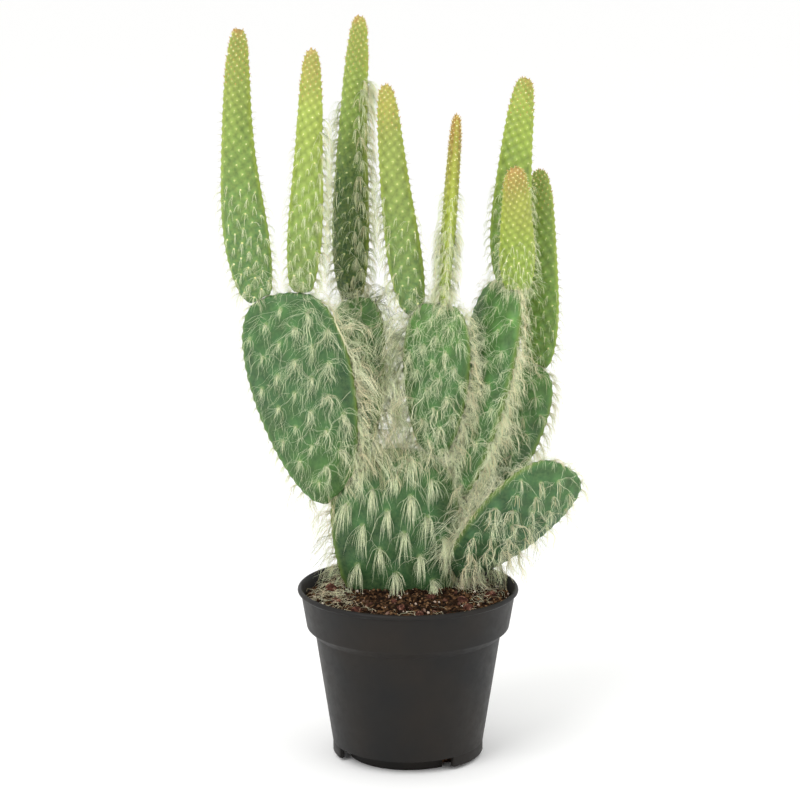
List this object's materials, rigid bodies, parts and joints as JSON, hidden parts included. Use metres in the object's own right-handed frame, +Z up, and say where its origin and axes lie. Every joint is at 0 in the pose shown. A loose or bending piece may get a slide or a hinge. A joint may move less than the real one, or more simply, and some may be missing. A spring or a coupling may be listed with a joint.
{
  "type": "potted prickly pear cactus",
  "caption": "Woolly paddle cactus with broad grown pads carrying long young pads, planted in a round tapered nursery pot with lava stones in the potting mix.",
  "frame": {"origin": "centre of the flat underside of the pot's cup", "axes": "+Z up the plant; the plant is seen from -Y, with its pads spread along X"},
  "size_m": [0.1957, 0.1243, 0.4028],
  "materials": {
    "pot_plastic": "satin",
    "potting_mix": "matte",
    "lava": "matte",
    "grown_pad": "satin",
    "young_pad": "satin"
  },
  "bodies": {
    "root": {"pot": "pot_plastic", "soil": "potting_mix", "base_pad": "grown_pad", "left_pad": "grown_pad", "rear_pad": "grown_pad", "middle_pad": "grown_pad", "upper_right_pad": "grown_pad", "lower_right_pad": "grown_pad", "low_side_pad": "grown_pad", "left_outer_shoot": "young_pad", "left_inner_shoot": "young_pad", "rear_shoot": "young_pad", "middle_front_shoot": "young_pad", "middle_side_shoot": "young_pad", "right_rear_shoot": "young_pad", "right_front_shoot": "young_pad", "right_outer_shoot": "young_pad", "lava_stone_01": "lava", "lava_stone_02": "lava", "lava_stone_03": "lava", "lava_stone_04": "lava", "lava_stone_05": "lava", "lava_stone_06": "lava", "lava_stone_07": "lava", "lava_stone_08": "lava", "lava_stone_09": "lava", "lava_stone_10": "lava", "lava_stone_11": "lava", "lava_stone_12": "lava", "lava_stone_13": "lava", "lava_stone_14": "lava", "lava_stone_15": "lava"}
  },
  "joints": []
}
